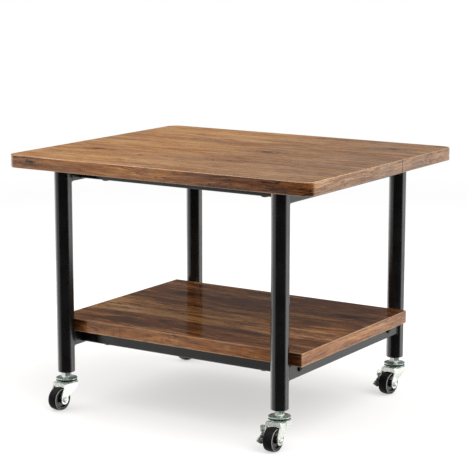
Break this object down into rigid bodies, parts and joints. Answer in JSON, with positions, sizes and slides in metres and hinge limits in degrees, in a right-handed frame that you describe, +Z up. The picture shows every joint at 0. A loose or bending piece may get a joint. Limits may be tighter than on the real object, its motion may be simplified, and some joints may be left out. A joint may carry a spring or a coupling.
{
  "type": "mobile printer stand",
  "caption": "Low two-tier stand on swivel casters: a rounded wood-grain top and a lower shelf on a black round-tube frame, with brake levers on one side.",
  "frame": {"origin": "on the floor, below the middle of the stand", "axes": "+X along the long side towards the braked casters, +Y towards the back, +Z up"},
  "size_m": [0.6, 0.5, 0.446],
  "materials": {
    "laminate_top": "rustic brown wood-grain laminate, satin",
    "laminate_shelf": "rustic brown wood-grain laminate, semi-gloss",
    "edge_band": "wood-grain plastic edge band, satin",
    "black_powder_coat": "satin black powder coat on steel tube",
    "black_plastic": "moulded black plastic",
    "black_oxide_steel": "black oxide fasteners",
    "zinc_steel": "bright zinc-plated pressed steel",
    "bearing_steel": "polished bearing balls",
    "lever_steel": "zinc-plated stamped lever",
    "hub_plastic": "moulded black nylon",
    "tyre_rubber": "smooth black wheel tread"
  },
  "bodies": {
    "frame": {"top_board": "laminate_top", "top_edge_band": "edge_band", "shelf_board": "laminate_shelf", "shelf_edge_strips": "edge_band", "leg_front_left": "black_powder_coat", "leg_front_right": "black_powder_coat", "leg_back_left": "black_powder_coat", "leg_back_right": "black_powder_coat", "leg_top_plugs": "black_plastic", "leg_stem_bushes": "black_powder_coat", "side_rail_upper_left": "black_powder_coat", "side_rail_upper_right": "black_powder_coat", "cross_rail_upper_front": "black_powder_coat", "cross_rail_upper_back": "black_powder_coat", "side_rail_lower_left": "black_powder_coat", "side_rail_lower_right": "black_powder_coat", "cross_rail_lower_front": "black_powder_coat", "cross_rail_lower_back": "black_powder_coat", "cross_rail_end_plugs": "black_plastic", "rail_bolts": "black_oxide_steel", "top_board_screws": "black_oxide_steel", "shelf_screws": "black_oxide_steel", "stem_front_left": "zinc_steel", "bearing_dish_front_left": "zinc_steel", "stem_front_right": "zinc_steel", "bearing_dish_front_right": "zinc_steel", "stem_back_left": "zinc_steel", "bearing_dish_back_left": "zinc_steel", "stem_back_right": "zinc_steel", "bearing_dish_back_right": "zinc_steel"},
    "fork_assembly_front_left": {"fork_front_left": "zinc_steel", "lower_race_front_left": "zinc_steel", "bearing_balls_front_left": "bearing_steel", "axle_front_left": "zinc_steel", "axle_nut_front_left": "zinc_steel"},
    "wheel_front_left": {"hub_front_left": "hub_plastic", "tyre_front_left": "tyre_rubber"},
    "fork_assembly_front_right": {"fork_front_right": "zinc_steel", "lower_race_front_right": "zinc_steel", "bearing_balls_front_right": "bearing_steel", "axle_front_right": "zinc_steel", "axle_nut_front_right": "zinc_steel"},
    "wheel_front_right": {"hub_front_right": "hub_plastic", "tyre_front_right": "tyre_rubber"},
    "brake_front_right": {"brake_lever_front_right": "lever_steel"},
    "fork_assembly_back_left": {"fork_back_left": "zinc_steel", "lower_race_back_left": "zinc_steel", "bearing_balls_back_left": "bearing_steel", "axle_back_left": "zinc_steel", "axle_nut_back_left": "zinc_steel"},
    "wheel_back_left": {"hub_back_left": "hub_plastic", "tyre_back_left": "tyre_rubber"},
    "fork_assembly_back_right": {"fork_back_right": "zinc_steel", "lower_race_back_right": "zinc_steel", "bearing_balls_back_right": "bearing_steel", "axle_back_right": "zinc_steel", "axle_nut_back_right": "zinc_steel"},
    "wheel_back_right": {"hub_back_right": "hub_plastic", "tyre_back_right": "tyre_rubber"},
    "brake_back_right": {"brake_lever_back_right": "lever_steel"}
  },
  "joints": [
    {"name": "swivel_front_left", "type": "hinge", "parent": "frame", "child": "fork_assembly_front_left", "pos_m": [-0.217, -0.2, 0.05], "axis": [0, 0, 1], "continuous": true},
    {"name": "wheel_spin_front_left", "type": "hinge", "parent": "fork_assembly_front_left", "child": "wheel_front_left", "pos_m": [-0.2187, -0.21943, 0.02], "axis": [0.9962, -0.0872, 0], "continuous": true},
    {"name": "swivel_front_right", "type": "hinge", "parent": "frame", "child": "fork_assembly_front_right", "pos_m": [0.217, -0.2, 0.05], "axis": [0, 0, 1], "continuous": true},
    {"name": "wheel_spin_front_right", "type": "hinge", "parent": "fork_assembly_front_right", "child": "wheel_front_right", "pos_m": [0.217, -0.2195, 0.02], "axis": [1, 0, 0], "continuous": true},
    {"name": "brake_front_right", "type": "hinge", "parent": "fork_assembly_front_right", "child": "brake_front_right", "pos_m": [0.217, -0.2195, 0.02], "axis": [1, 0, 0], "range_deg": [0, 18]},
    {"name": "swivel_back_left", "type": "hinge", "parent": "frame", "child": "fork_assembly_back_left", "pos_m": [-0.217, 0.2, 0.05], "axis": [0, 0, 1], "continuous": true},
    {"name": "wheel_spin_back_left", "type": "hinge", "parent": "fork_assembly_back_left", "child": "wheel_back_left", "pos_m": [-0.22615, 0.18278, 0.02], "axis": [0.8829, -0.4695, 0], "continuous": true},
    {"name": "swivel_back_right", "type": "hinge", "parent": "frame", "child": "fork_assembly_back_right", "pos_m": [0.217, 0.2, 0.05], "axis": [0, 0, 1], "continuous": true},
    {"name": "wheel_spin_back_right", "type": "hinge", "parent": "fork_assembly_back_right", "child": "wheel_back_right", "pos_m": [0.21496, 0.18061, 0.02], "axis": [0.9945, -0.1045, 0], "continuous": true},
    {"name": "brake_back_right", "type": "hinge", "parent": "fork_assembly_back_right", "child": "brake_back_right", "pos_m": [0.21496, 0.18061, 0.02], "axis": [0.9945, -0.1045, 0], "range_deg": [0, 18]}
  ]
}
